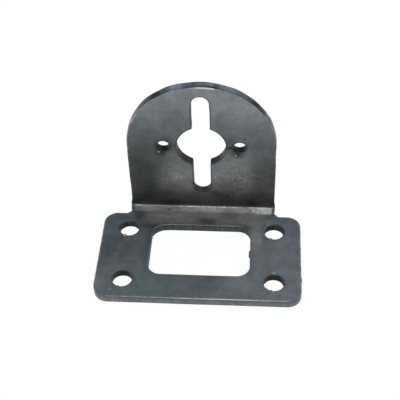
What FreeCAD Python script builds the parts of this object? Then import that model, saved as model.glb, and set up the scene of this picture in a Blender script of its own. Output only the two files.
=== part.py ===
# Motor mounting bracket, one piece of steel sheet: cut flat, pierced, then folded once.
# The foot is bolted down through four holes that stand round a window. The upright carries the motor
# on a pilot hole, which a slot crosses from top to bottom, with one screw hole on each side.
# Millimetres. X runs along the fold, Y from the foot's front edge to the upright, and Z up.
# The origin is the middle of the four foot holes, on the underside.
import FreeCAD
import Part
import os
from math import acos, cos, degrees, pi, sin

# Sheet and fold
sheet_thickness = 3.0
inside_radius = 2.5
neutral_depth = 1.26
fold_setback = 0.6
relief_radius = 1.9

# Upright
upright_width = 48.8
axis_height = 31.8
pilot_diameter = 16.4
slot_width = 6.0
slot_top_web = 3.5
slot_bottom_web = 5.4
screw_pitch = 25.0
screw_hole_diameter = 4.3

# Foot
wing_reach = 9.0
front_corner_radius = 4.75
rear_corner_radius = 4.4
foot_hole_pitch_y = 22.1
foot_hole_diameter = 7.0
side_margin = 8.8
front_margin = 7.5
rear_margin = 6.9

# Window in the foot
window_side_web = 7.8
window_front_web = 9.65
window_rear_web = 5.3
window_corner_radius = 4.4

# Sections that the wrapped relief curve is drawn through
relief_sections = 9

# Places across the foot, from its middle
half_upright = upright_width / 2
half_foot = half_upright + wing_reach
foot_hole_x = half_foot - side_margin
half_window = foot_hole_x - window_side_web

# Places along the foot, from the middle of its holes
foot_hole_y = foot_hole_pitch_y / 2
front_y = -foot_hole_y - front_margin
wing_rear_y = foot_hole_y + rear_margin
fold_start_y = wing_rear_y + fold_setback
window_front_y = front_y + window_front_web
window_rear_y = fold_start_y - window_rear_web

# The fold turns about this height, and the upright's faces follow from it
outside_radius = inside_radius + sheet_thickness
fold_centre_z = outside_radius
neutral_radius = inside_radius + neutral_depth
upright_front_y = fold_start_y + inside_radius
right_angle = pi / 2

# The slot keeps its webs at the top of the arch and above the fold
slot_top_z = axis_height + half_upright - slot_top_web
slot_bottom_z = fold_centre_z + slot_bottom_web

# The relief curve leaves the wing's rear edge at angle 0 and meets the upright's side at a right angle.
# The part of it up to relief_flat_angle lies in the flat foot, and the rest is wrapped round the fold.
relief_flat_angle = acos(max(0.0, 1 - fold_setback / relief_radius))
relief_is_wrapped = relief_radius > fold_setback
wrap_end = (relief_radius - fold_setback) / neutral_radius


def vector(x, y, z=0.0):
    return FreeCAD.Vector(x, y, z)


def line(start, end):
    return Part.LineSegment(start, end).toShape()


def arc(start, middle, end):
    return Part.Arc(start, middle, end).toShape()


def rounded_corner(before, corner, after, radius):
    """Arc that rounds a square corner, from the side of one neighbour to the side of the other."""
    to_before = (before - corner).normalize()
    to_after = (after - corner).normalize()
    centre = corner + (to_before + to_after) * radius
    middle = centre - (to_before + to_after).normalize() * radius
    return arc(corner + to_before * radius, middle, corner + to_after * radius)


def end_of(edge):
    return edge.valueAt(edge.LastParameter)


def start_of(edge):
    return edge.valueAt(edge.FirstParameter)


def joined(edges):
    """The edges in their order, with a straight line across each gap and from the last to the first."""
    chain = []
    for edge, following in zip(edges, edges[1:] + edges[:1]):
        chain.append(edge)
        if not end_of(edge).isEqual(start_of(following), Part.Precision.confusion()):
            chain.append(line(end_of(edge), start_of(following)))
    return Part.Wire(chain)


def plate(wire, direction):
    """A sheet-thick plate from its outline."""
    return Part.Face(wire).extrude(direction * sheet_thickness)


def relief_half_width(angle):
    return half_upright + relief_radius * (1 - sin(angle))


def relief_length(angle):
    """How far along the sheet the relief curve has come from the wings' rear edge."""
    return relief_radius * (1 - cos(angle))


def relief_arc(side, first_angle, last_angle):
    """The stretch of the relief curve that lies in the flat foot, on the side -1 or +1."""
    angles = (first_angle, (first_angle + last_angle) / 2, last_angle)
    return arc(*(vector(side * relief_half_width(a), wing_rear_y + relief_length(a)) for a in angles))


def foot():
    """The flat foot, as far as the line where the fold starts."""
    front_left = vector(-half_foot, front_y)
    front_right = vector(half_foot, front_y)
    rear_right = vector(half_foot, wing_rear_y)
    rear_left = vector(-half_foot, wing_rear_y)
    neck_right = vector(relief_half_width(relief_flat_angle), fold_start_y)
    neck_left = vector(-relief_half_width(relief_flat_angle), fold_start_y)
    outline = joined([
        rounded_corner(front_left, front_right, rear_right, front_corner_radius),
        rounded_corner(front_right, rear_right, rear_left, rear_corner_radius),
        relief_arc(1, 0.0, relief_flat_angle),
        line(neck_right, neck_left),
        relief_arc(-1, relief_flat_angle, 0.0),
        rounded_corner(rear_right, rear_left, front_left, rear_corner_radius),
        rounded_corner(rear_left, front_left, front_right, front_corner_radius),
    ])
    return plate(outline, vector(0, 0, 1))


def fold_point(x, radius, turn):
    """A point of the fold: how far across, how far from the fold's axis, and how far round it."""
    return vector(x, fold_start_y + radius * sin(turn), fold_centre_z - radius * cos(turn))


def radial_rectangle(x_near, x_far, radius_low, radius_high, turn):
    corners = ((x_near, radius_low), (x_far, radius_low), (x_far, radius_high), (x_near, radius_high))
    points = [fold_point(x, radius, turn) for x, radius in corners]
    return Part.makePolygon(points + points[:1])


def turned_section(x_near, x_far, radius_low, radius_high, first_turn, last_turn):
    """A radial rectangle, swept round the fold's axis from one turn to another."""
    section = Part.Face(radial_rectangle(x_near, x_far, radius_low, radius_high, first_turn))
    axis_point = vector(0, fold_start_y, fold_centre_z)
    return section.revolve(axis_point, vector(1, 0, 0), degrees(last_turn - first_turn))


def wrapped_relief(side):
    """What the relief curve takes from the fold's edge, up to the turn where the curve ends.
    A length along the flat sheet becomes the same length round the fold's neutral layer."""
    clear = inside_radius / 2
    outer_x = half_upright + 2 * relief_radius
    sections = []
    for step in range(relief_sections):
        share = step / (relief_sections - 1)
        angle = relief_flat_angle + (right_angle - relief_flat_angle) * share
        turn = (relief_length(angle) - fold_setback) / neutral_radius
        sections.append(radial_rectangle(side * relief_half_width(angle), side * outer_x,
                                         inside_radius - clear, outside_radius + clear, turn))
    return Part.makeLoft(sections, True)


def fold():
    """The quarter-round fold. Its edges start with the rest of the relief curve, wrapped round it."""
    if not relief_is_wrapped:
        return turned_section(-half_upright, half_upright, inside_radius, outside_radius, 0, right_angle)
    start_half = relief_half_width(relief_flat_angle)
    flared = turned_section(-start_half, start_half, inside_radius, outside_radius, 0, wrap_end)
    for side in (-1, 1):
        flared = flared.cut(wrapped_relief(side))
    straight = turned_section(-half_upright, half_upright, inside_radius, outside_radius, wrap_end, right_angle)
    return flared.fuse(straight)


def upright():
    """The upright above the fold: straight sides under a half-round arch."""
    y = upright_front_y
    spring_right = vector(half_upright, y, axis_height)
    spring_left = vector(-half_upright, y, axis_height)
    crown = vector(0, y, axis_height + half_upright)
    base = line(vector(-half_upright, y, fold_centre_z), vector(half_upright, y, fold_centre_z))
    return plate(joined([base, arc(spring_right, crown, spring_left)]), vector(0, 1, 0))


def foot_hole(x, y):
    return Part.makeCylinder(foot_hole_diameter / 2, sheet_thickness, vector(x, y))


def window():
    front_left = vector(-half_window, window_front_y)
    front_right = vector(half_window, window_front_y)
    rear_right = vector(half_window, window_rear_y)
    rear_left = vector(-half_window, window_rear_y)
    ring = [front_left, front_right, rear_right, rear_left]
    corners = [rounded_corner(ring[i - 1], ring[i], ring[(i + 1) % len(ring)], window_corner_radius)
               for i in range(len(ring))]
    return plate(joined(corners), vector(0, 0, 1))


def upright_hole(diameter, x, z):
    return Part.makeCylinder(diameter / 2, sheet_thickness, vector(x, upright_front_y, z), vector(0, 1, 0))


def slot():
    """The upright slot with its two round ends."""
    half_width = slot_width / 2
    low_z = slot_bottom_z + half_width
    high_z = slot_top_z - half_width
    corner = vector(-half_width, upright_front_y, low_z)
    middle = Part.makeBox(slot_width, sheet_thickness, high_z - low_z, corner)
    return middle.multiFuse([upright_hole(slot_width, 0, z) for z in (low_z, high_z)])


def motor_bracket():
    """The folded sheet with everything that is pierced through it."""
    sheet = foot().multiFuse([fold(), upright()]).removeSplitter()
    pierced = [window(), slot(), upright_hole(pilot_diameter, 0, axis_height)]
    pierced += [upright_hole(screw_hole_diameter, side * screw_pitch / 2, axis_height) for side in (-1, 1)]
    pierced += [foot_hole(x, y) for x in (-foot_hole_x, foot_hole_x) for y in (-foot_hole_y, foot_hole_y)]
    return sheet.cut(pierced).removeSplitter()


os.makedirs("parts", exist_ok=True)
bracket = motor_bracket()
bracket.exportStep("parts/motor_bracket.step")
print("motor_bracket: solids", len(bracket.Solids), "faces", len(bracket.Faces), "valid", bracket.isValid())
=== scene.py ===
# %% [markdown]
# A motor mounting bracket of folded steel sheet. The real one is cut flat from 3 mm plate, pierced, and
# folded once in a press. We build it the same way here: first the flat blank with its softened edges, then
# one rule that folds it, and last the finish of its dark steel, a table and the light.
# The frame is the solid model of the same bracket. It fixes every size, and our sheet takes its place.

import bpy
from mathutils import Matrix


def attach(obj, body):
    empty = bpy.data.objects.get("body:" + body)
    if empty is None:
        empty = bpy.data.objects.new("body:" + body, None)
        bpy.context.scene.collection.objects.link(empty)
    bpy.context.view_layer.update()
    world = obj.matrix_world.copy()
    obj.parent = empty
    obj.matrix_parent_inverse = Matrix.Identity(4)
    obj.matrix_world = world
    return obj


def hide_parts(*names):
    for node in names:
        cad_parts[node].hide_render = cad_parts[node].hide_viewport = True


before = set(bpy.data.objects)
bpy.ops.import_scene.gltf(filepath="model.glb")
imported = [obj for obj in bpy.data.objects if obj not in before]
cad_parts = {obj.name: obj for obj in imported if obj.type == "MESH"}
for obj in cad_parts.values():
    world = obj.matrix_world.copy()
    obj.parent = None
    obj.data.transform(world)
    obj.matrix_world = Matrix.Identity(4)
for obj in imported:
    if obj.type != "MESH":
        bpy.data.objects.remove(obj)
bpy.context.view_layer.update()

# %% [markdown]
# A workshop drawing is in millimetres and Blender works in metres, so one value turns one into the other.
# The drawing's sizes stand together here. Lengths along the sheet are counted on the flat blank, from the
# front edge of the foot.

# %% Sizes from the drawing
from functools import partial
from math import asin, cos, degrees, pi, radians, sin, sqrt

import bpy
import numpy as np
from mathutils import Matrix, Vector
from mathutils.geometry import delaunay_2d_cdt

MM = 0.001
thickness = 3.0
inside_radius = 2.5
neutral_depth = 1.26
upright_width = 48.8
axis_height = 31.8
foot_width = 66.8
wing_depth = 36.5
fold_setback = 0.6
front_corner_radius = 4.75
rear_corner_radius = 4.4
relief_radius = 1.9

half_upright = upright_width / 2
half_foot = foot_width / 2
foot_hole_x = 24.6
foot_hole_front = 7.5
foot_hole_rear = 29.6
front_y = -(foot_hole_front + foot_hole_rear) / 2
fold_start = wing_depth + fold_setback
outside_radius = inside_radius + thickness
neutral_radius = inside_radius + neutral_depth
fold_length = neutral_radius * pi / 2
upright_start = fold_start + fold_length
axis_along = upright_start + axis_height - outside_radius
print("the blank is", round(axis_along + half_upright, 2), "mm long before it is folded")

# %% [markdown]
# The camera stands in front of the bracket, a little to the right, and looks down at about 45 degrees. Its
# place is written the way a photographer would say it: how far round, how high, how far away, and how much
# the camera is tilted. The lens and the sensor width fix the field of view.

# %% Camera
camera_azimuth = 4.77
camera_elevation = 45.605
camera_roll = -1.925
camera_distance = 297.88
camera_aim = Vector((0.0, 6.75, 20.24))
camera_slide = (0.175, 1.146)
camera_lens = 83.007
sensor_width = 36.0


def placed(name, data):
    """A new object with this data, put into the scene."""
    thing = bpy.data.objects.new(name, data)
    bpy.context.scene.collection.objects.link(thing)
    return thing


def camera_axes(azimuth, elevation, roll):
    """Right, up and backward directions of a camera that is turned round, raised and tilted."""
    a, e, r = radians(azimuth), radians(elevation), radians(roll)
    back = Vector((sin(a) * cos(e), -cos(a) * cos(e), sin(e)))
    level = Vector((cos(a), sin(a), 0))
    up = back.cross(level)
    return level * cos(r) + up * sin(r), up * cos(r) - level * sin(r), back


right, up, back = camera_axes(camera_azimuth, camera_elevation, camera_roll)
camera_place = camera_aim + back * camera_distance + right * camera_slide[0] + up * camera_slide[1]
camera_data = bpy.data.cameras.new("bracket_camera")
camera_data.sensor_width = sensor_width
camera_data.lens = camera_lens
camera_data.clip_start = 10 * MM
camera = placed("bracket_camera", camera_data)
camera.matrix_world = Matrix.Translation(camera_place * MM) @ Matrix((right, up, back)).transposed().to_4x4()
bpy.context.scene.camera = camera
print("camera stands", [round(c) for c in camera_place], "mm from the middle of the foot holes")

# %% [markdown]
# Every edge of the blank is made of straight cuts and round ones. Two small helpers walk along them and
# drop a point every third of a millimetre, or closer where small marks need it. Each leaves out its last
# point, so that the next piece of the outline can start there.

# %% Walk along lines and arcs
step = 0.35
fine_step = 0.2
fewest_steps = 6


def along_line(start, end):
    """Points along a straight cut, without its end."""
    start, end = np.array(start, float), np.array(end, float)
    count = max(1, round(np.linalg.norm(end - start) / step))
    return start + (end - start) * np.arange(count)[:, None] / count


def along_arc(centre, radius, first, last, spacing=step):
    """Points along a round cut from one angle to another, in degrees, without its end."""
    count = max(fewest_steps, round(abs(radians(last - first)) * radius / spacing))
    angles = np.radians(first + (last - first) * np.arange(count) / count)
    return np.array(centre, float) + radius * np.column_stack([np.cos(angles), np.sin(angles)])


def mirrored(points):
    """The same points on the other side of the middle, in the opposite order."""
    return (points * [-1, 1])[::-1]


print("a full 7 mm hole is", len(along_arc((0, 0), 3.5, 0, 360)), "points")

# %% [markdown]
# The outer edge runs round the foot, turns in to the upright on a small relief curve, climbs the side and
# goes over the arch. The right half is drawn and mirrored. Material lies on the left of the walk.

# %% Outer edge of the blank
right_half = np.concatenate([
    along_line((0, 0), (half_foot - front_corner_radius, 0)),
    along_arc((half_foot - front_corner_radius, front_corner_radius), front_corner_radius, -90, 0),
    along_line((half_foot, front_corner_radius), (half_foot, wing_depth - rear_corner_radius)),
    along_arc((half_foot - rear_corner_radius, wing_depth - rear_corner_radius), rear_corner_radius, 0, 90),
    along_line((half_foot - rear_corner_radius, wing_depth), (half_upright + relief_radius, wing_depth)),
    along_arc((half_upright + relief_radius, wing_depth + relief_radius), relief_radius, 270, 180),
    along_line((half_upright, wing_depth + relief_radius), (half_upright, axis_along)),
    along_arc((0, axis_along), half_upright, 0, 90),
])
crown = np.array([[0.0, axis_along + half_upright]])
outer_edge = np.concatenate([right_half, crown, mirrored(right_half[1:])])
print("outer edge:", len(outer_edge), "points")

# %% [markdown]
# The openings are walked the other way round, so that the material is on the left again. The slot and the
# pilot hole are one opening: the walk leaves the slot's side where the round hole crosses it.

# %% Openings of the blank
window_half = 16.8
window_front = 9.65
window_rear = 31.8
window_radius = 4.4
foot_hole_radius = 3.5
pilot_radius = 8.2
slot_half = 3.0
slot_reach = 20.9
screw_hole_x = 12.5
screw_hole_radius = 2.15


def round_hole(x, y, radius):
    return along_arc((x, y), radius, 360, 0, fine_step)


def rounded_window():
    inner, low, high = window_half - window_radius, window_front + window_radius, window_rear - window_radius
    return np.concatenate([
        along_arc((-inner, low), window_radius, 270, 180),
        along_line((-window_half, low), (-window_half, high)),
        along_arc((-inner, high), window_radius, 180, 90),
        along_line((-inner, window_rear), (inner, window_rear)),
        along_arc((inner, high), window_radius, 90, 0),
        along_line((window_half, high), (window_half, low)),
        along_arc((inner, low), window_radius, 0, -90),
        along_line((inner, window_front), (-inner, window_front)),
    ])


def slotted_pilot():
    crossing = sqrt(pilot_radius ** 2 - slot_half ** 2)
    turn = degrees(asin(slot_half / pilot_radius))
    end = slot_reach - slot_half
    half = np.concatenate([
        along_arc((0, axis_along - end), slot_half, 270, 180),
        along_line((-slot_half, axis_along - end), (-slot_half, axis_along - crossing)),
        along_arc((0, axis_along), pilot_radius, 270 - turn, 90 + turn),
        along_line((-slot_half, axis_along + crossing), (-slot_half, axis_along + end)),
        along_arc((0, axis_along + end), slot_half, 180, 90),
    ])
    top = np.array([[0.0, axis_along + slot_reach]])
    return np.concatenate([half, top, mirrored(half[1:])])


edges = {"outer": outer_edge, "window": rounded_window(), "slot": slotted_pilot()}
for side, x in (("left", -1), ("right", 1)):
    edges["screw_" + side] = round_hole(x * screw_hole_x, axis_along, screw_hole_radius)
    edges["front_" + side] = round_hole(x * foot_hole_x, foot_hole_front, foot_hole_radius)
    edges["rear_" + side] = round_hole(x * foot_hole_x, foot_hole_rear, foot_hole_radius)
print("edges and openings:", {name: len(points) for name, points in edges.items()})

# %% [markdown]
# A cut edge is never perfectly sharp. The cutting beam and the tumbling drum leave a tiny rounding, and that
# rounding draws the thin line along the edge of real sheet metal. So the wall of every cut is a small
# profile: a quarter circle, the wall, and a quarter circle again. The rounding makes a cut look smaller than
# it is, so its wall stands out by a part of it and the edge keeps the drawing's size to the eye.
# Each kind of cut has its rounding, how brightly the rounding is painted, partly as rubbed metal and partly
# as a painted highlight, how far soot and painted shade reach over the face beside it, and how much of them
# there is at the rim, high on the wall and deep in it.

# %% Kinds of cut edge
edge_kinds = {
    "outer": {"rounding": 0.16, "stands_out": 0.11, "rub_and_highlight": 1.0, "reach": 0.4, "soot_and_shade": (0.0, 0.6, 0.1)},
    "window": {"rounding": 0.16, "stands_out": 0.12, "rub_and_highlight": 0.5, "reach": 0.4, "soot_and_shade": (0.0, 1.0, 0.82)},
    "slot": {"rounding": 0.22, "stands_out": 0.13, "rub_and_highlight": 0.0, "reach": 0.34, "soot_and_shade": (0.52, 0.82, 1.0)},
    "foot": {"rounding": 0.28, "stands_out": 0.2, "rub_and_highlight": 0.0, "reach": 0.3, "soot_and_shade": (0.3, 0.95, 1.15)},
    "screw": {"rounding": 0.24, "stands_out": 0.04, "rub_and_highlight": 0.0, "reach": 0.5, "soot_and_shade": (0.6, 0.85, 1.1)},
}
kind_of_edge = {name: "foot" if name.startswith(("front", "rear")) else name.split("_")[0] for name in edges}
soot_depth = 1.6
holding_gap = 0.12
inner_shine = 0.6
quarter_steps = 4
wall_steps = 6


def edge_profile(kind):
    """Rings of a cut: how far each stands out, how deep it lies, and its shares of edge, wall, and soot with
    painted shade.
    """
    radius = kind["rounding"]
    rim_soot, high_soot, deep_soot = kind["soot_and_shade"]
    quarter = [radians(90 * k / quarter_steps) for k in range(quarter_steps)]
    depths = np.linspace(radius, thickness - radius, wall_steps + 1)
    rub_and_highlight = kind["rub_and_highlight"]
    top = [(-radius - kind["reach"], 0.0, 0.0, 0.0, 0.0)]
    top += [(-radius - holding_gap, 0.0, rub_and_highlight * inner_shine, 0.0, rim_soot)]
    top += [(radius * (sin(a) - 1), radius * (1 - cos(a)), rub_and_highlight, 0.0, rim_soot) for a in quarter]
    wall = [(0.0, d, 0.0, 1.0, high_soot + (deep_soot - high_soot) * min(1, d / soot_depth)) for d in depths]
    bottom = [(out, thickness - depth, *shares) for out, depth, *shares in reversed(top)]
    return [(out + kind["stands_out"], *rest) for out, *rest in top + wall + bottom]


print("rings in a wall:", len(edge_profile(edge_kinds["outer"])))

# %% [markdown]
# The beam has to start each cut somewhere, and the start leaves a tiny knob or bite in the edge. A real
# outline also has longer, gentler waves, and a burr in each relief corner. Each row gives the edge, where
# the mark lies on the flat sheet, its half length along the edge, and how far it stands out from the
# material. The four foot holes carry their start mark at the same place, and there it lifts the rim too.

# %% Marks on the cut edges
edge_waves = [
    ("window", 16.8, 20.48, 0.56, 0.45),
    ("window", 16.8, 22.7, 1.0, -0.08),
    ("window", -15.6, 30.6, 2.8, 0.16),
    ("window", -13.6, 31.8, 3.4, 0.24),
    ("outer", half_foot, 8.95, 1.6, 0.2),
    ("outer", 21.9, 81.6, 1.8, -0.2),
    ("outer", -10.0, 91.6, 5.0, 0.22),
    ("outer", -7.0, 92.6, 3.5, 0.12),
    ("outer", 11.5, 90.8, 4.5, 0.14),
    ("outer", -15.6, 88.0, 4.5, 0.2),
    ("outer", 24.2, 75.0, 5.0, -0.16),
    ("outer", 24.9, 37.3, 1.6, 0.48),
    ("outer", -25.1, 37.2, 1.4, 0.28),
    ("outer", -18.3, 85.5, 4.0, 0.18),
    ("outer", 1.0, 93.7, 7.0, 0.13),
    ("outer", 19.6, 84.4, 3.5, -0.1),
    ("outer", 24.4, 67.5, 7.0, -0.18),
    ("outer", -24.4, 70.0, 5.0, -0.1),
    ("outer", -24.4, 49.0, 7.0, -0.1),
    ("outer", 32.0, 1.4, 3.5, 0.12),
    ("slot", 3.0, 88.5, 3.0, 0.15),
    ("slot", 3.0, 86.0, 2.0, 0.08),
    ("slot", 0.0, 90.2, 3.5, 0.08),
    ("slot", -3.0, 85.0, 3.0, -0.1),
    ("slot", -3.0, 80.5, 5.5, -0.17),
    ("slot", -3.2, 61.6, 1.5, -0.12),
    ("slot", 7.0, 74.5, 5.0, 0.12),
    ("screw_right", 11.0, 67.8, 1.6, -0.18),
    ("screw_left", -14.0, 67.8, 1.5, -0.1),
    ("front_left", -21.2, 7.8, 2.0, -0.12),
]
edge_marks = [(*wave, 0.0) for wave in edge_waves]
for side, x in (("left", -foot_hole_x), ("right", foot_hole_x)):
    edge_marks.append(("front_" + side, x - 0.85, foot_hole_front - 3.4, 0.55, 0.22, 0.12))
    edge_marks.append(("rear_" + side, x - 1.05, foot_hole_rear - 3.35, 0.6, 0.28, 0.15))
print("marks on the edges:", len(edge_marks))

# %% [markdown]
# The blank is gathered as lists of points and faces. Each point keeps three facts beside its place: how much
# it belongs to a rounded edge, to a cut wall and to the rim darkened with soot and painted shade. The finish
# reads them later. Real cuts also wander by a few hundredths of a millimetre, so each wall gets a gentle
# wobble that closes on itself.

# %% Walls of the blank
rng = np.random.default_rng(63)
wobble = 0.03
wobble_waves = 14
corner_limit = 0.6
blank_points, blank_faces = [], []
shares = {"edge_share": [], "wall_share": [], "soot_and_shade_share": []}


def outward(points):
    """Direction away from the material at each point of a closed walk, a little longer in corners."""
    ahead = np.roll(points, -1, axis=0) - points
    behind = points - np.roll(points, 1, axis=0)
    ahead /= np.linalg.norm(ahead, axis=1)[:, None]
    behind /= np.linalg.norm(behind, axis=1)[:, None]
    mean = ahead + behind
    mean /= np.linalg.norm(mean, axis=1)[:, None]
    stretch = 1 / np.clip((mean * ahead).sum(axis=1), corner_limit, 1)
    return np.column_stack([mean[:, 1], -mean[:, 0]]) * stretch[:, None]


def wandering(count):
    """A closed, gently waving line of numbers with a size of about one."""
    turn = 2 * pi * np.arange(count) / count
    line = np.zeros(count)
    for wave in range(2, wobble_waves):
        line += np.sin(wave * turn + rng.uniform(0, 2 * pi)) / sqrt(wave)
    return line / 2


def marks_on(name, points):
    """How far its marks push each point of an edge out, and how much they lift it."""
    push, lift = np.zeros(len(points)), np.zeros(len(points))
    for edge_name, x, place, half_length, out, up in edge_marks:
        if edge_name == name:
            nearness = np.clip(1 - np.hypot(points[:, 0] - x, points[:, 1] - place) / half_length, 0, 1)
            push += out * nearness ** 2 * (3 - 2 * nearness)
            lift += up * nearness
    return push, lift


def add_wall(name):
    """Rings down one cut edge, joined by faces. Returns the numbers of the first and last ring."""
    points = edges[name]
    normal = outward(points)
    push, lift = marks_on(name, points)
    drift = wandering(len(points)) * wobble + push
    rings = []
    for out, depth, *ring_shares in edge_profile(edge_kinds[kind_of_edge[name]]):
        place = points + normal * (out + drift)[:, None]
        height = thickness - depth + lift * (depth < holding_gap) * (out > -holding_gap)
        first = len(blank_points)
        blank_points.extend((x, y, z) for (x, y), z in zip(place, height))
        for values, share in zip(shares.values(), ring_shares):
            values.extend([share] * len(points))
        rings.append(range(first, first + len(points)))
    for upper, lower in zip(rings, rings[1:]):
        for k in range(len(points)):
            following = (k + 1) % len(points)
            blank_faces.append((upper[k], lower[k], lower[following], upper[following]))
    return rings[0], rings[-1]


rims = {name: add_wall(name) for name in edges}
print("wall points:", len(blank_points), "wall faces:", len(blank_faces))

# %% [markdown]
# The two faces of the sheet are filled between the rims. A plain fill would give long thin triangles that
# crack open when the sheet is folded, so we first lay a grid of points over the blank: wide apart on the
# flats and close together across the fold. A Delaunay triangulation then joins rims and grid.

# %% Faces of the blank
grid_wide = 1.6
grid_fold = 0.33
rim_room = 0.45
same_point = 1e-6


def inside(points, loop):
    """Which points lie inside a closed loop."""
    result = np.zeros(len(points), bool)
    for (x0, y0), (x1, y1) in zip(loop, np.roll(loop, -1, axis=0)):
        crosses = (y0 > points[:, 1]) != (y1 > points[:, 1])
        rise = y1 - y0 if y1 != y0 else 1.0
        result ^= crosses & (points[:, 0] < (x1 - x0) * (points[:, 1] - y0) / rise + x0)
    return result


def in_material(points, loops):
    result = inside(points, loops[0])
    for loop in loops[1:]:
        result &= ~inside(points, loop)
    return result


def grid_rows():
    flat_foot = np.arange(grid_wide / 2, fold_start - grid_fold, grid_wide)
    folded = np.arange(fold_start, upright_start + grid_fold / 2, grid_fold)
    flat_upright = np.arange(upright_start + grid_wide / 2, axis_along + half_upright, grid_wide)
    return np.concatenate([flat_foot, folded, flat_upright])


def grid_points(loops):
    columns = np.arange(-half_foot, half_foot, grid_wide) + grid_wide / 2
    grid = np.array([(x, y) for y in grid_rows() for x in columns])
    grid = grid[in_material(grid, loops)]
    rim_points = np.concatenate(loops)
    far = [np.min(np.hypot(*(rim_points - p).T)) > rim_room for p in grid]
    return grid[np.array(far)]


def add_face(which, upward):
    """Fills one side of the sheet between its rims."""
    rings = [rims[name][which] for name in edges]
    numbers = [n for ring in rings for n in ring]
    loops = [np.array([blank_points[n][:2] for n in ring]) for ring in rings]
    grid = grid_points(loops)
    first = len(blank_points)
    blank_points.extend((x, y, blank_points[numbers[0]][2]) for x, y in grid)
    for values in shares.values():
        values.extend([0.0] * len(grid))
    numbers += list(range(first, first + len(grid)))
    borders, start = [], 0
    for ring in rings:
        borders += [(start + k, start + (k + 1) % len(ring)) for k in range(len(ring))]
        start += len(ring)
    flat = [Vector(blank_points[n][:2]) for n in numbers]
    _, _, triangles, *_ = delaunay_2d_cdt(flat, borders, [], 1, same_point)
    places = np.array(flat)
    centres = np.array([places[list(t)].mean(axis=0) for t in triangles])
    kept = in_material(centres, loops)
    for triangle, keep in zip(triangles, kept):
        if keep:
            a, b, c = (numbers[k] for k in triangle)
            blank_faces.append((a, b, c) if upward else (a, c, b))
    return len(grid), int(kept.sum())


print("upper face, grid points and triangles:", add_face(0, True))
print("lower face, grid points and triangles:", add_face(1, False))

# %% [markdown]
# A press squeezes the inner side of a fold and stretches the outer one. The squeezed metal has to go
# somewhere, so the sheet's edges swell out a little inside the fold, and pull in outside. Without that a
# folded edge looks too clean.

# %% Swelling at the fold
swell = 0.34
swell_fade = 2.6
swell_reach = 4.0
swell_end = upright_start - 0.5
pull_in = 1.3


def smooth(x):
    x = np.clip(x, 0, 1)
    return x * x * (3 - 2 * x)


points = np.array(blank_points)
rise = smooth((points[:, 1] - wing_depth - relief_radius / 2) / relief_radius)
fall = 1 - smooth((points[:, 1] - swell_end) / swell_fade)
near_edge = smooth(1 - (half_upright - np.abs(points[:, 0])) / swell_reach)
inner_side = 1 - pull_in * (thickness - points[:, 2]) / thickness
points[:, 0] += np.sign(points[:, 0]) * swell * rise * fall * near_edge * inner_side
widest = np.abs(points[(rise > 0) & (fall > 0), 0]).max()
print("widest point in the fold:", round(widest, 2), "mm from the middle")

# %% [markdown]
# The blank becomes a mesh that still lies flat, with the upright stretched out behind the foot. The place on
# the flat sheet is kept as an attribute of its own, so that the finish can follow the sheet round the fold.

# %% Flat blank as a mesh
flat_mesh = bpy.data.meshes.new("flat_blank")
flat_mesh.from_pydata(((points + [0, front_y, 0]) * MM).tolist(), [], blank_faces)
for name, values in shares.items():
    flat_mesh.attributes.new(name, "FLOAT", "POINT").data.foreach_set("value", np.array(values, np.float32))
sheet_place = flat_mesh.attributes.new("sheet_place", "FLOAT_VECTOR", "POINT")
sheet_place.data.foreach_set("vector", (points * MM).astype(np.float32).ravel())
flat_mesh.polygons.foreach_set("use_smooth", [True] * len(flat_mesh.polygons))
flat_blank = placed("flat_blank", flat_mesh)
print("flat blank:", len(flat_mesh.vertices), "points,", len(flat_mesh.polygons), "faces")

# %% [markdown]
# Steel keeps its length along one layer only, the neutral layer. All the rest is squeezed or stretched.
# That makes folding a rule that can be written down for each point: how far it lies beyond the fold line
# gives its turn, and how deep it lies in the sheet gives its radius. A Geometry Nodes tree can hold such a
# rule, and its inputs are the press's settings. Change the fold angle, and the bracket opens or closes.

# %% Small helpers for node trees
def math_node(tree, operation, first, second=None):
    """A Math node. Numbers are set on its sockets and outputs are linked to them."""
    node = tree.nodes.new("ShaderNodeMath")
    node.operation = operation
    for socket, value in zip(node.inputs, (first, second)):
        if isinstance(value, (int, float)):
            socket.default_value = value
        elif value is not None:
            tree.links.new(value, socket)
    return node.outputs[0]


def vector_math(tree, operation, first, second=(0, 0, 0)):
    node = tree.nodes.new("ShaderNodeVectorMath")
    node.operation = operation
    tree.links.new(first, node.inputs[0])
    node.inputs[1].default_value = second
    return node.outputs["Value" if operation in ("LENGTH", "DOT_PRODUCT") else "Vector"]


def map_range(tree, value, low, high, to_low, to_high, shape="SMOOTHSTEP"):
    node = tree.nodes.new("ShaderNodeMapRange")
    node.interpolation_type = shape
    for socket, number in (("From Min", low), ("From Max", high), ("To Min", to_low), ("To Max", to_high)):
        node.inputs[socket].default_value = number
    tree.links.new(value, node.inputs["Value"])
    return node.outputs[0]


print("node helpers ready")


# %% [markdown]
# The tree takes the sheet, works out a new place for each point and moves it there. A point in front of the
# fold line keeps its place. Beyond it, the length is first used up in the turn, and what is left goes
# straight on in the new direction. An export keeps no instances, so the last two nodes make real geometry
# of them and give it its finish.

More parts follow.
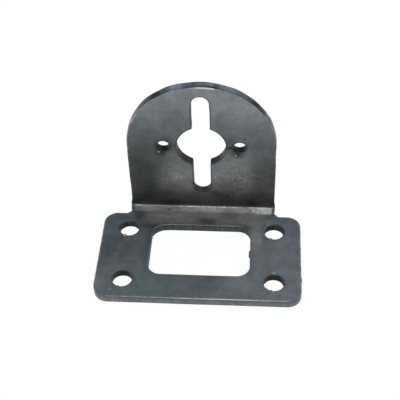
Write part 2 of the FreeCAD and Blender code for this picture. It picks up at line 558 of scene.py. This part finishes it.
# %% The fold as a rule
def fold_tree(finish):
    """Folds a flat sheet about a line that runs along X."""
    tree = bpy.data.node_groups.new("fold_the_sheet", "GeometryNodeTree")
    tree.interface.new_socket("Sheet", in_out="INPUT", socket_type="NodeSocketGeometry")
    for name in ("Fold line", "Inside radius", "Thickness", "Neutral depth", "Fold angle"):
        tree.interface.new_socket(name, in_out="INPUT", socket_type="NodeSocketFloat")
    tree.interface.new_socket("Folded sheet", in_out="OUTPUT", socket_type="NodeSocketGeometry")
    inputs = tree.nodes.new("NodeGroupInput").outputs
    place = tree.nodes.new("ShaderNodeSeparateXYZ")
    tree.links.new(tree.nodes.new("GeometryNodeInputPosition").outputs[0], place.inputs[0])
    x, y, z = place.outputs

    calc = partial(math_node, tree)
    outer = calc("ADD", inputs["Inside radius"], inputs["Thickness"])
    neutral = calc("ADD", inputs["Inside radius"], inputs["Neutral depth"])
    radius = calc("SUBTRACT", outer, z)
    beyond = calc("MAXIMUM", calc("SUBTRACT", y, inputs["Fold line"]), 0.0)
    turn = calc("MINIMUM", calc("DIVIDE", beyond, neutral), inputs["Fold angle"])
    straight = calc("SUBTRACT", beyond, calc("MULTIPLY", turn, neutral))
    sine, cosine = calc("SINE", turn), calc("COSINE", turn)
    flat_y = calc("MINIMUM", y, inputs["Fold line"])
    round_y = calc("ADD", calc("MULTIPLY", radius, sine), calc("MULTIPLY", straight, cosine))
    round_z = calc("SUBTRACT", calc("MULTIPLY", straight, sine), calc("MULTIPLY", radius, cosine))

    folded = tree.nodes.new("ShaderNodeCombineXYZ")
    tree.links.new(x, folded.inputs[0])
    tree.links.new(calc("ADD", flat_y, round_y), folded.inputs[1])
    tree.links.new(calc("ADD", outer, round_z), folded.inputs[2])
    bend = tree.nodes.new("GeometryNodeSetPosition")
    tree.links.new(inputs["Sheet"], bend.inputs["Geometry"])
    tree.links.new(folded.outputs[0], bend.inputs["Position"])
    finish_tree(tree, bend.outputs[0], finish)
    return tree


def finish_tree(tree, geometry, finish):
    """Ends a tree: real geometry instead of instances, and the finish on it."""
    realize = tree.nodes.new("GeometryNodeRealizeInstances")
    paint = tree.nodes.new("GeometryNodeSetMaterial")
    paint.inputs["Material"].default_value = finish
    output = tree.nodes.new("NodeGroupOutput")
    tree.links.new(geometry, realize.inputs[0])
    tree.links.new(realize.outputs[0], paint.inputs[0])
    tree.links.new(paint.outputs[0], output.inputs[0])


def grow(source, tree, settings, name):
    """Runs a tree on an object with these settings and keeps the result as a plain mesh piece."""
    modifier = source.modifiers.new("grow", "NODES")
    modifier.node_group = tree
    sockets = {item.name: item.identifier for item in tree.interface.items_tree if item.in_out == "INPUT"}
    for setting, value in settings.items():
        modifier[sockets[setting]] = value
    bpy.context.view_layer.update()
    evaluated = source.evaluated_get(bpy.context.evaluated_depsgraph_get())
    mesh = bpy.data.meshes.new_from_object(evaluated)
    mesh.name = name
    bpy.data.objects.remove(source)
    return placed(name, mesh)


steel = bpy.data.materials.new("mill_scaled_steel")
bracket_sheet = grow(flat_blank, fold_tree(steel), {
    "Fold line": (fold_start + front_y) * MM,
    "Inside radius": inside_radius * MM,
    "Thickness": thickness * MM,
    "Neutral depth": neutral_depth * MM,
    "Fold angle": pi / 2,
}, "bracket_sheet")
triangle_count = sum(len(face.vertices) - 2 for face in bracket_sheet.data.polygons)
print("folded sheet:", len(bracket_sheet.data.vertices), "points,", triangle_count, "triangles")

# %% [markdown]
# A finish is painted in layers, and most layers need the same few brushes: noise of a certain size, a soft
# round spot, and a slider that turns one range of numbers into another. All of them read the place on the
# flat sheet that we stored before folding, so a streak that crosses the fold stays one streak. The mask
# called front is 0 on the flat sheet's underside and 1 on its other side, so that marks of one side don't
# show through on the other.

# %% Brushes for the finish
steel.use_nodes = True
skin = steel.node_tree
paint, wires = skin.nodes, skin.links
# Each of these is a helper with its first values filled in.
vectors, ranged = partial(vector_math, skin), partial(map_range, skin)
times, plus = partial(math_node, skin, "MULTIPLY"), partial(math_node, skin, "ADD")
larger, rest_of = partial(math_node, skin, "MAXIMUM"), partial(math_node, skin, "SUBTRACT", 1.0)
# Most numbers of a noise texture lie between these two.
usual_noise = (0.3, 0.7)


def stored(name, kind="Fac"):
    """A value that the mesh carries, such as the place on the flat sheet."""
    node = paint.new("ShaderNodeAttribute")
    node.attribute_name = name
    return node.outputs[kind]


def noise(size, low, high, stretch=(1, 1, 1), seed=0.0, detail=3.0):
    """Noise with spots of about this size in millimetres, as numbers from low to high."""
    node = paint.new("ShaderNodeTexNoise")
    node.noise_dimensions = "4D"
    node.inputs["W"].default_value = seed
    node.inputs["Detail"].default_value = detail
    node.inputs["Scale"].default_value = 1 / (size * MM)
    wires.new(vectors("MULTIPLY", sheet, stretch), node.inputs["Vector"])
    return ranged(node.outputs[0], *usual_noise, low, high, "LINEAR")


def spot(x, along, half_width, half_length):
    """A soft patch on the sheet: 1 in its middle and 0 at its border."""
    offset = vectors("SUBTRACT", sheet, (x * MM, along * MM, 0))
    scaled = vectors("DIVIDE", offset, (half_width * MM, half_length * MM, 1))
    return ranged(vectors("LENGTH", scaled), 1, 0, 0, 1)


def mixed_colour(amount, first, second):
    node = paint.new("ShaderNodeMix")
    node.data_type = "RGBA"
    # Sockets 0, 6 and 7 are the factor and the two colours.
    for place, value in ((0, amount), (6, first), (7, second)):
        if isinstance(value, bpy.types.NodeSocket):
            wires.new(value, node.inputs[place])
        else:
            node.inputs[place].default_value = (*value, 1)
    return node.outputs["Result"]


front_depths = (0.3, 0.9)
sheet = stored("sheet_place", "Vector")
across = vectors("DOT_PRODUCT", sheet, (1, 0, 0))
along = vectors("DOT_PRODUCT", sheet, (0, 1, 0))
deep = vectors("DOT_PRODUCT", sheet, (0, 0, 1))
front = ranged(deep, front_depths[0] * MM, front_depths[1] * MM, 0, 1)
print("brushes ready")

# %% [markdown]
# The finish is hot-rolled steel with its mill scale: a thin dark oxide skin. It is metal, so nearly all of
# its look is reflection, dulled by a fine roughness. Its tone is never even: it has clouds a centimetre
# wide, fine grain, faint streaks from rolling, and patches. Some patches are places where it was handled,
# and others are painted light and shade, such as the lighter right side and the dark strip between the
# window and the fold. Each patch is one row: where it lies on the flat sheet, its half width and half
# length, and how much lighter or darker it is. The top of the arch is painted a little lighter as a painted
# reflection, and just above the fold the sheet is painted darkest, as painted shade for the shadowed table
# that it mirrors there.

# %% Tone of the mill scale, with painted light and shade
# Real handling marks mixed with painted light and shade.
tone_and_light_patches = [
    (-31, 22, 8, 16, -0.26),
    (31, 22, 8, 18, -0.18),
    (-31, 36, 9, 4.5, -0.3),
    (31, 36, 9, 4.5, -0.28),
    (-31, 20, 4, 9, -0.12),
    (31, 31, 8, 6, -0.2),
    (-33, 3, 6, 6, 0.14),
    (-10, 6, 15, 7, 0.22),
    (13, 6, 12, 7, 0.3),
    (1, 5.5, 4.5, 6, -0.08),
    (1.5, 33.8, 6, 3.4, -0.4),
    (-18.5, 32.0, 3.5, 3.0, -0.2),
    (-25, 20, 4, 8, -0.16),
    (26.2, 34.5, 4.0, 4.5, -0.28),
    (21.6, 35.0, 3.8, 3.6, 0.55),
    (-20.5, 36.6, 3.6, 2.5, 0.34),
    (-21, 66, 9, 20, -0.26),
    (-26, 66, 5, 8, -0.2),
    (20, 50, 8, 7, 0.35),
    (20, 66, 6, 7, 0.12),
    (17, 86, 7, 7, 0.18),
    (-21, 79, 4, 7, -0.1),
    (-8, 81, 8, 10, -0.18),
    (7, 79, 5, 8, -0.2),
    (-12, 70, 7, 6, -0.5),
    (9, 71, 6, 6, -0.35),
    (-16, 59, 5, 6, -0.2),
    (-8, 59, 8, 8, 0.08),
    (13, 63, 7, 8, 0.3),
    (9, 53, 6, 7, -0.3),
    (-11, 51, 5, 6, -0.12),
    (-22, 50, 6, 3, 0.15),
    (2, 44.5, 6, 4, 0.36),
    (23, 43, 4, 3, 0.2),
    (17.0, 43.5, 5, 3, -0.5),
    (-11, 43.0, 7, 3.4, -0.5),
    (6, 47.5, 6, 4, -0.3),
    (-12, 47.5, 4, 3, -0.2),
    (-22.5, 39.4, 3.6, 2.8, -0.3),
    (-27, 34, 4.5, 3, -0.28),
    (-24.3, 36.6, 3, 2.2, 0.2),
    (24, 26.3, 3, 2.4, -0.25),
    (-31, 31, 5, 4, -0.2),
    (-23.5, 45, 3, 2, 0.15),
    (4.5, 46.8, 2.5, 1.6, 0.2),
    (-16.5, 76, 4.5, 5, -0.13),
    (19, 54.5, 4, 3, -0.14),
    (14, 57.5, 3.5, 2.4, -0.13),
    (4.2, 48.2, 2.4, 2.4, -0.3),
    (-2.6, 48.0, 2.4, 2.0, -0.2),
    (-27.5, 24, 3.4, 3.2, -0.16),
    (7.5, 2.5, 3.4, 3, 0.12),
    (22.5, 33.2, 3.2, 2.6, 0.22),
]
crown_sheen_limits = (74.0, 86.0)
crown_painted_sheen = 1.14
above_fold_band = (41.3, 41.6, 47.0, 58.0)
above_fold_painted_shade = 0.49


def patchwork(patches, level):
    """Adds soft patches to a level."""
    for x, place, half_width, half_length, strength in patches:
        level = plus(level, times(spot(x, place, half_width, half_length), strength))
    return level


def ramp(value, limits, start=0, end=1):
    """Goes softly from start to end while a length goes from one limit to the other, in millimetres."""
    return ranged(value, limits[0] * MM, limits[1] * MM, start, end)


def between(mask, start, end):
    """Goes straight from start to end while a mask goes from 0 to 1, and stays there."""
    return ranged(mask, 0, 1, start, end, "LINEAR")


def band(value, limits):
    """1 between the middle two limits, falling softly to 0 at the outer two."""
    return times(ramp(value, limits[:2]), ramp(value, limits[2:], 1, 0))


clouds = noise(10, 0.9, 1.1, seed=1.0)
mottles = noise(3.4, 0.88, 1.12, seed=8.0, detail=2.0)
grain = noise(1.0, 0.93, 1.07, seed=2.0, detail=5.0)
streaks = noise(1.2, 0.97, 1.03, stretch=(1, 0.12, 1), seed=3.0)
# Painted reflection: the top of the arch is made lighter.
crown = ramp(along, crown_sheen_limits, 1.0, crown_painted_sheen)
above_fold = times(band(along, above_fold_band), front)
patched = times(crown, patchwork(tone_and_light_patches, 1.0))
tone = times(times(times(clouds, mottles), times(grain, streaks)), patched)
# Painted shade: the band just above the fold is made darker.
tone = times(tone, between(above_fold, 1, 1 - above_fold_painted_shade))
print("tone patches:", len(tone_and_light_patches))

# %% [markdown]
# Small marks make a sheet look handled: pale flecks, short scuffs and dark nicks. Some of the brightest are
# painted highlights instead: the short line of light on the front rim at the top of the arch, and glints at
# the lower rims of the screw holes and the foot holes. They are rows of the same kind as the patches, only
# smaller and stronger. Heights on the upright are counted from the foot's underside, as on the real bracket,
# and turned into places on the flat sheet. Fine speckle lies between them, strongest on both sides of the
# slot's lower end.

# %% Small marks
up_to_sheet = upright_start - outside_radius
upright_marks_and_glints = [
    (11.4, 52.2, 0.6, 0.7, 0.45),
    (14.1, 35.6, 0.7, 0.9, -0.6),
    (12.6, 36.4, 1.2, 0.5, -0.2),
    (9.4, 31.6, 1.8, 1.0, -0.7),
    (-13.2, 28.8, 3.1, 2.6, -0.58),
    (-14.0, 29.4, 0.45, 0.7, 4.0),
    (-11.4, 28.6, 0.5, 0.4, 0.8),
    (11.8, 28.9, 3.5, 2.7, -0.68),
    (11.2, 28.4, 0.5, 0.5, 1.8),
    (9.8, 16.6, 1.2, 0.6, 0.3),
    (12.1, 14.2, 1.5, 0.5, 0.3),
    (14.2, 11.9, 1.4, 0.6, 0.3),
    (-8.8, 18.5, 3.4, 3.8, 0.12),
]
# Among these rows are painted glints at the foot holes and the painted highlight on the arch's rim.
sheet_marks_and_glints = [
    (24.65, 11.5, 0.7, 0.45, 1.7),
    (24.3, 3.7, 0.6, 0.5, 1.2),
    (23.5, 25.9, 0.5, 0.5, 1.4),
    (-25.7, 25.8, 1.2, 1.0, -0.4),
    (-25.75, 26.0, 0.6, 0.5, 5.0),
    (1.8, 93.75, 3.9, 0.45, 2.0),
    (3.6, 93.45, 0.9, 0.5, 1.2),
    (-25.2, 4.0, 0.5, 0.4, 1.0),
    (-27.9, 2.8, 0.8, 0.5, 0.8),
    (13.7, 9.3, 3.6, 2.2, 0.2),
    (-28.3, 19.4, 2.0, 1.4, -0.2),
    (8.5, 46.8, 1.4, 0.8, -0.4),
    (10.6, 48.6, 0.9, 1.0, -0.35),
    (13.2, 50.4, 1.0, 0.7, -0.3),
    (-21.2, 14.4, 1.4, 1.2, -0.2),
]
speckle_patches = [
    (12, 55, 12, 11, 1.3),
    (-10, 56, 9, 10, 1.0),
    (-27, 20, 7, 8, 0.5),
]
speckle_level = 0.25


def shaded(tone, change):
    """A tone with lighter and darker places laid over it, as shares of itself."""
    return times(tone, plus(change, 1.0))


marks_and_glints = [(x, height + up_to_sheet, *rest) for x, height, *rest in upright_marks_and_glints] + sheet_marks_and_glints
tone = shaded(tone, times(patchwork(marks_and_glints, 0.0), front))
speckle = noise(0.7, -0.2, 0.2, seed=13.0, detail=2.0)
tone = shaded(tone, times(speckle, patchwork(speckle_patches, speckle_level)))
print("small marks:", len(marks_and_glints))

# %% [markdown]
# Smoke from the cut settled on the sheet round the pilot hole, most of it low on the left. A ring that fades
# outwards gives its place, and a patch makes it uneven.

# %% Smoke round the pilot hole
smoke_limits = (8.3, 9.8)
smoke_patches = [(-5, 64.5, 11, 9, -0.34)]
smoke_level = -0.08

from_pilot = vectors("LENGTH", vectors("SUBTRACT", sheet, (0, axis_along * MM, 0)))
smoke = times(ramp(from_pilot, smoke_limits, 1, 0), front)
tone = shaded(tone, times(smoke, patchwork(smoke_patches, smoke_level)))
print("smoke reaches", round(smoke_limits[1] - pilot_radius, 1), "mm from the pilot hole")

# %% [markdown]
# Where the press tool and later handling rubbed the scale, the sheet is lighter, browner and duller. It no
# longer works as a mirror there, so these places are much less metallic and a little rougher. The
# rubbed band reaches almost from side to side in the fold, and thins out towards its ends in front of it. On
# the outside of the fold the sheet slid over the die, which leaves a broader and fainter band.

# %% Rubbed places
rub_patches = [
    (18.4, 27.5, 4, 9, 1.2),
    (19.3, 18, 4.5, 14, 0.42),
    (12, 7.5, 7, 4.5, 0.5),
    (-19.3, 27, 4, 8, 0.35),
    (-19.5, 16, 4, 12, 0.15),
    (-24, 36.3, 6, 5, -0.8),
    (1.5, 33.2, 5.5, 2.4, -0.5),
]
rub_band = (30.5, 33.5, 41.15, 41.45)
rub_strength = 0.9
firm_half_width = (23.0, 24.3)
loose_half_width = (17.5, 24.5)
firm_from = (36.5, 39.0)
die_band = (35.5, 38.0, 42.0, 45.0)
die_strength = 0.45

from_middle = math_node(skin, "ABSOLUTE", across)
in_width = ramp(from_middle, firm_half_width, 1, 0)
firm = ramp(along, firm_from)
loose_width = times(ramp(from_middle, loose_half_width, 1, 0), rest_of(firm))
under_fold = times(band(along, rub_band), plus(times(firm, in_width), loose_width))
rubbed_front = times(patchwork(rub_patches, times(under_fold, rub_strength)), front)
rubbed_rear = times(band(along, die_band), between(front, die_strength, 0))
rubbed = times(larger(rubbed_front, rubbed_rear), noise(2.4, 0.78, 1.08, seed=4.0))
print("rubbed patches:", len(rub_patches))

# %% [markdown]
# The tool didn't press evenly, so the rubbed band has light and dark places of its own, the lightest at its
# right end. Where it pressed hardest, the scale broke off in tiny flakes, and bright specks are painted on
# them as glints.

# %% Pressure of the tool
pressure_patches = [
    (21.5, 39.4, 6, 3.2, 1.5),
    (13, 39.4, 5, 2.4, 0.35),
    (3, 39.6, 6, 3, 0.6),
    (-11, 36.2, 9, 2.4, 0.6),
    (4, 36.4, 7, 2.2, 0.5),
    (15, 36.4, 7, 2, 0.35),
    (-13, 40.0, 8, 2.4, -0.35),
    (-24, 37.5, 5, 4, -0.4),
    (-20.5, 32.4, 4.6, 3.0, -0.28),
    (-21.5, 39.8, 3, 2.2, -0.22),
    (1.5, 33.8, 6, 3.0, -0.5),
    (-7, 36.4, 5, 2.4, 0.35),
    (-3, 39.4, 5, 2, 0.2),
    (-11.6, 39.2, 0.9, 1.1, -0.6),
    (18.5, 23, 5, 9, 0.12),
    (21.5, 37.2, 6, 1.9, 0.25),
]
glint_patches = [
    (20, 39.6, 6, 3, 2.2),
    (3, 39.8, 8, 2, 0.7),
    (-21, 40.2, 3, 1.8, 0.5),
]
glint_level = 0.1
glint_limits = (0.55, 0.85)

specks = noise(0.55, 0.82, 1.18, stretch=(0.5, 1, 1), seed=9.0, detail=2.0)
blotches = noise(2.2, 0.8, 1.2, stretch=(0.6, 1, 1), seed=14.0)
chips = noise(0.7, 0.0, 1.0, stretch=(0.5, 1, 1), seed=16.0, detail=1.0)
flakes = ranged(chips, *glint_limits, 0, 1)
# Bright specks painted as glints.
painted_glints = times(flakes, patchwork(glint_patches, glint_level))
pressure = plus(times(times(specks, blotches), patchwork(pressure_patches, 1.0)), painted_glints)
print("pressure patches:", len(pressure_patches), "and sparks:", len(glint_patches))

# %% [markdown]
# A thin bright line is painted along the fold as a painted highlight, broken into dashes. The rubbing stops
# there as if cut off with a ruler, and above it the scale is whole and painted darker as shade. At both ends
# of the fold, in the corners where the upright meets the wings, a narrow strip is painted darker as shade.

# %% Painted highlight and shade in the fold
fold_highlight_patches = [
    (1, 41, 12, 4, 0.8),
    (8.5, 41, 5.5, 4, 0.5),
    (20, 41, 6, 4, 1.5),
    (-15, 41, 8, 4, -0.3),
    (-10.5, 41, 3, 4, -0.5),
    (-21.5, 41, 2.5, 4, 0.3),
    (-5, 41, 3.5, 4, 0.2),
]
fold_highlight_band = (40.7, 40.95, 41.2, 41.5)
fold_highlight_level = 0.6
end_half_width = (23.4, 24.0)
end_band = (36.5, 37.5, 41.0, 41.8)
fold_end_shade_level = 0.45

# Painted highlight along the fold.
broken = noise(1.5, -0.1, 1.4, stretch=(1, 0.3, 1), seed=10.0)
fold_highlight_dashes = times(broken, patchwork(fold_highlight_patches, fold_highlight_level))
fold_highlight_place = times(times(band(along, fold_highlight_band), in_width), front)
fold_highlight = between(times(fold_highlight_place, fold_highlight_dashes), 0, 1)
# Painted shade at both ends of the fold.
fold_end_shade = times(ramp(from_middle, end_half_width), band(along, end_band))
tone = times(tone, between(fold_end_shade, 1, fold_end_shade_level))
print("places on the line:", len(fold_highlight_patches))

# %% [markdown]
# Cut walls are darker than the rolled face, because the cut leaves a burnt skin there, with fine grooves
# from the upper face to the lower one. Soot mixed with painted shade darkens the walls and rims, most inside
# the holes and the window, and a little less at the slot's lower end. The wall patches paint the arch's wall
# lighter and darker as painted reflections, and on top of the arch painted shade makes the wall darker
# towards its front.

# %% Cut walls
wall_tone_and_reflection_patches = [
    (18.3, 86.2, 9, 8, -0.95),
    (-14.5, 89.4, 7, 5, -0.85),
    (-19, 85.0, 5, 5, -0.7),
    (-7.6, 92.8, 3.8, 2, 1.0),
    (3, 93.5, 7, 2.5, -0.5),
    (22.5, 78, 5, 9, -0.35),
    (0, 0, 40, 3, -0.12),
    (12, 90.5, 6, 4, -0.2),
    (-20, 0, 5, 2, -0.15),
    (-19.8, 81.8, 3.5, 4.5, -0.35),
    (18.5, 84, 5, 5, -0.18),
]
crown_wall = (2.5, 93.5, 6.5, 3)
crown_wall_depths = (0.5, 2.4)
crown_wall_shade = -0.4
soot_patches = [(1.5, 48.4, 4.5, 3.5, -0.35)]

wall = stored("wall_share")
grooves = noise(1.3, 0.82, 1.18, stretch=(1, 1, 0.2), seed=11.0)
crown_shade = times(spot(*crown_wall), ramp(deep, crown_wall_depths, 0, crown_wall_shade))
# Painted reflections on the arch's wall and painted shade at its crown.
wall_tone = times(plus(patchwork(wall_tone_and_reflection_patches, 1.0), crown_shade), grooves)
tone = shaded(tone, times(wall, plus(wall_tone, -1.0)))
# Soot mixed with painted shade inside the holes and along the rims.
soot_and_shade = times(stored("soot_and_shade_share"), noise(0.9, 0.75, 1.05, stretch=(1, 1, 0.2), seed=15.0))
soot_and_shade = times(soot_and_shade, patchwork(soot_patches, 1.0))
print("wall patches:", len(wall_tone_and_reflection_patches))

# %% [markdown]
# The outer edge is the opposite of the holes: handling rubs it bright, but only in places, so a coarse noise
# breaks the line into dashes. The brightness is partly rubbed metal and partly a painted highlight along the
# rounded rim, strongest on top of the arch and along the front.

# %% Broken edges with painted highlights
edge_highlight_patches = [
    (1.6, 93.7, 4.0, 1.5, 2.4),
    (4.0, 93.4, 0.9, 0.9, 1.0),
    (9.5, 92, 6, 3, -0.8),
    (-5.8, 93, 4, 2.5, -0.6),
    (8, 0, 26, 2, 0.75),
    (12, 0, 9, 2, 0.5),
    (6.8, 0, 3, 2, 0.5),
    (31.5, 2.5, 5, 5, -0.8),
    (-31.5, 2.5, 4, 4, -0.5),
    (-9, 31.8, 8, 1.2, 0.3),
    (9, 31.8, 6, 1.2, 0.5),
    (-16, 87.5, 12, 8, -0.9),
    (18, 85, 11, 10, -0.8),
    (23, 74, 6, 10, -0.9),
]
edge = stored("edge_share")
dashes = noise(1.6, -0.15, 0.7, seed=5.0, detail=2.0)
# Rubbed metal mixed with a painted highlight on the rounded rims.
edge_wear_and_highlight = between(times(edge, patchwork(edge_highlight_patches, dashes)), 0, 1)
print("edge patches:", len(edge_highlight_patches))

# %% [markdown]
# Now the layers are laid over each other: scale first, with its drifting tint, brown above the fold, in a
# few patches and where it was rubbed, then the rubbed metal, the painted highlight in the fold, the soot
# with its painted shade, and the edges, rubbed bright and painted with highlights. Each layer has its own
# mask, and what is laid on later covers what lies below.

# %% Colour of the sheet
left_scale = (0.197, 0.224, 0.24)
right_scale = (0.211, 0.224, 0.25)
green_scale = (0.209, 0.226, 0.23)
upright_scale = (0.213, 0.223, 0.224)
brown_scale = (0.231, 0.224, 0.216)
rubbed_colour = (0.325, 0.298, 0.272)
strip_colour = (0.312, 0.302, 0.296)
# Colour of the painted highlight in the fold.
fold_highlight_colour = (0.8, 0.78, 0.75)
foot_wall = (0.204, 0.212, 0.224)
arch_wall = (0.19, 0.207, 0.245)
# Colour of soot and painted shade.
soot_and_shade_colour = (0.028, 0.03, 0.032)
# Colour of the rubbed and painted highlight on the edges.
edge_highlight_colour = (0.66, 0.67, 0.68)
tint_limits = (-28.0, 28.0)
low_upright_band = (40.0, 44.0, 66.0, 82.0)
wall_limits = (40.0, 70.0)
strip_limits = (30.0, 34.0)
warm_patches = [
    (20, 52, 9, 10, 0.7),
    (10, 55, 8, 8, 0.25),
    (-7, 53, 5, 6, 0.65),
]
above_fold_warmth = 0.7


def scaled_colour(colour, factor):
    node = paint.new("ShaderNodeVectorMath")
    node.operation = "SCALE"
    wires.new(colour, node.inputs[0])
    wires.new(factor, node.inputs["Scale"])
    return node.outputs[0]


scale = mixed_colour(ramp(across, tint_limits), left_scale, right_scale)
scale = mixed_colour(noise(6, 0.0, 0.7, seed=12.0, detail=2.0), scale, green_scale)
scale = mixed_colour(band(along, low_upright_band), scale, upright_scale)
scale = mixed_colour(wall, scale, mixed_colour(ramp(along, wall_limits), foot_wall, arch_wall))
warmed = times(patchwork(warm_patches, times(above_fold, above_fold_warmth)), front)
scale = mixed_colour(larger(warmed, rubbed), scale, brown_scale)
bare = mixed_colour(ramp(along, strip_limits), strip_colour, rubbed_colour)
colour = mixed_colour(rubbed, scaled_colour(scale, tone), scaled_colour(bare, pressure))
colour = mixed_colour(fold_highlight, colour, fold_highlight_colour)
colour = mixed_colour(between(soot_and_shade, 0, 1), colour, soot_and_shade_colour)
colour = mixed_colour(edge_wear_and_highlight, colour, edge_highlight_colour)
surface = paint["Principled BSDF"]
wires.new(colour, surface.inputs["Base Color"])
print("colour made with", len(paint), "nodes")

# %% [markdown]
# The same masks drive the metallic share and the roughness, so that every mark changes the shine as well as
# the colour. A fine bump gives the skin its slightly pitted look.

# %% Shine of the sheet
foot_roughness = 0.42
upright_roughness = 0.38
rubbed_metallic = 0.45
rubbed_roughness = 0.12
soot_roughness = 0.15
edge_smoothness = -0.12
bump_strength = 0.35
bump_height = 0.03

dulled = times(rubbed, rest_of(fold_highlight))
wires.new(between(dulled, 1, rubbed_metallic), surface.inputs["Metallic"])

roughness = ramp(along, (fold_start, upright_start), foot_roughness, upright_roughness)
roughness = times(roughness, noise(3.0, 0.92, 1.08, seed=6.0))
for mask, change in ((rubbed, rubbed_roughness), (soot_and_shade, soot_roughness), (edge_wear_and_highlight, edge_smoothness)):
    roughness = plus(roughness, times(mask, change))
wires.new(roughness, surface.inputs["Roughness"])

bump = paint.new("ShaderNodeBump")
bump.inputs["Strength"].default_value = bump_strength
bump.inputs["Distance"].default_value = bump_height * MM
wires.new(noise(0.8, 0.0, 1.0, seed=7.0, detail=4.0), bump.inputs["Height"])
wires.new(bump.outputs[0], surface.inputs["Normal"])
print("finish:", steel.name, "with", len(paint), "nodes")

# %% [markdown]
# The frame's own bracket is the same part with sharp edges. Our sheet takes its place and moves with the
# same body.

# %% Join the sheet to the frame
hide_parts("motor_bracket")
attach(bracket_sheet, "root")
print(bracket_sheet.name, "stands for motor_bracket")

# %% [markdown]
# The bracket lies on a white table. The camera and the steel see it as plain white, with a little of the lit
# surface mixed in, so that the bracket's own soft shadow stays on it.

# %% Floor
floor_white = 0.9
shadow_for_camera = 0.06
shadow_for_steel = 0.2
floor_size = 6.0
floor_gap = 0.02
floor_roughness = 0.9
glow_level = 1.03


def seen_directly(tree, paths):
    """1 for rays that come from the camera, straight or through glass."""
    return math_node(tree, "MAXIMUM", paths["Is Camera Ray"], paths["Is Transmission Ray"])


def show_mixed(tree, factor, first, second, output):
    """Shows two shaders, mixed by a factor."""
    mix = tree.nodes.new("ShaderNodeMixShader")
    for value, socket in zip((factor, first.outputs[0], second.outputs[0]), mix.inputs):
        tree.links.new(value, socket)
    tree.links.new(mix.outputs[0], tree.nodes[output].inputs[0])


def floor_finish():
    finish = bpy.data.materials.new("white_table")
    finish.use_nodes = True
    tree = finish.node_tree
    lit = tree.nodes["Principled BSDF"]
    lit.inputs["Base Color"].default_value = (floor_white, floor_white, floor_white, 1)
    lit.inputs["Roughness"].default_value = floor_roughness
    glow = tree.nodes.new("ShaderNodeEmission")
    glow.inputs["Strength"].default_value = glow_level
    paths = tree.nodes.new("ShaderNodeLightPath").outputs
    straight = math_node(tree, "MULTIPLY", seen_directly(tree, paths), 1 - shadow_for_camera)
    mirrored_in_steel = math_node(tree, "MULTIPLY", paths["Is Glossy Ray"], 1 - shadow_for_steel)
    show_mixed(tree, math_node(tree, "MAXIMUM", straight, mirrored_in_steel), lit, glow, "Material Output")
    return finish


half_floor = floor_size / 2
floor_mesh = bpy.data.meshes.new("table")
floor_turns = ((-1, -1), (1, -1), (1, 1), (-1, 1))
floor_corners = [(x * half_floor, y * half_floor, -floor_gap * MM) for x, y in floor_turns]
floor_mesh.from_pydata(floor_corners, [], [(0, 1, 2, 3)])
floor_mesh.materials.append(floor_finish())
floor = placed("table", floor_mesh)
print("floor:", floor_size, "m wide")

# %% [markdown]
# Bare metal shows the room around it, so the room is the light. A pale, slightly cool room stands all round
# and a few soft panels make it brighter: one low in front, which the fold mirrors, one overhead, and one
# behind on the right. Each row gives how far round and how high the panel hangs, its half width, all three
# in degrees, and its strength. The camera itself sees plain white behind the bracket.

# %% Light
room_tint = (0.905, 1.0, 1.065)
room_level = 0.42
panels = {
    "low in front": (180, 18, 24, 0.85),
    "overhead": (120, 75, 40, 0.45),
    "behind, right": (50, 42, 42, 0.75),
}

world = bpy.data.worlds.new("studio")
bpy.context.scene.world = world
world.use_nodes = True
tree = world.node_tree
direction = tree.nodes.new("ShaderNodeTexCoord").outputs["Generated"]


def soft_panel(turn, height, half_width, strength):
    """Brightness of the room where a soft panel hangs."""
    turn, height, half_width = radians(turn), radians(height), radians(half_width)
    towards = (sin(turn) * cos(height), cos(turn) * cos(height), sin(height))
    nearness = vector_math(tree, "DOT_PRODUCT", direction, towards)
    return map_range(tree, nearness, cos(half_width), 1, 0, strength)


brightness = room_level
for panel in panels.values():
    brightness = math_node(tree, "ADD", soft_panel(*panel), brightness)
lit_room = tree.nodes["Background"]
lit_room.inputs["Color"].default_value = (*room_tint, 1)
tree.links.new(brightness, lit_room.inputs["Strength"])
white_room = tree.nodes.new("ShaderNodeBackground")
white_room.inputs["Color"].default_value = (1, 1, 1, 1)
paths = tree.nodes.new("ShaderNodeLightPath").outputs
show_mixed(tree, seen_directly(tree, paths), lit_room, white_room, "World Output")
bpy.context.scene.view_settings.view_transform = "Standard"
print("light: a room of level", room_level, "with", len(panels), "soft panels")

# %% [markdown]
# Last the scene is brought up to date.

# %% Bring the scene up to date
bpy.context.view_layer.update()
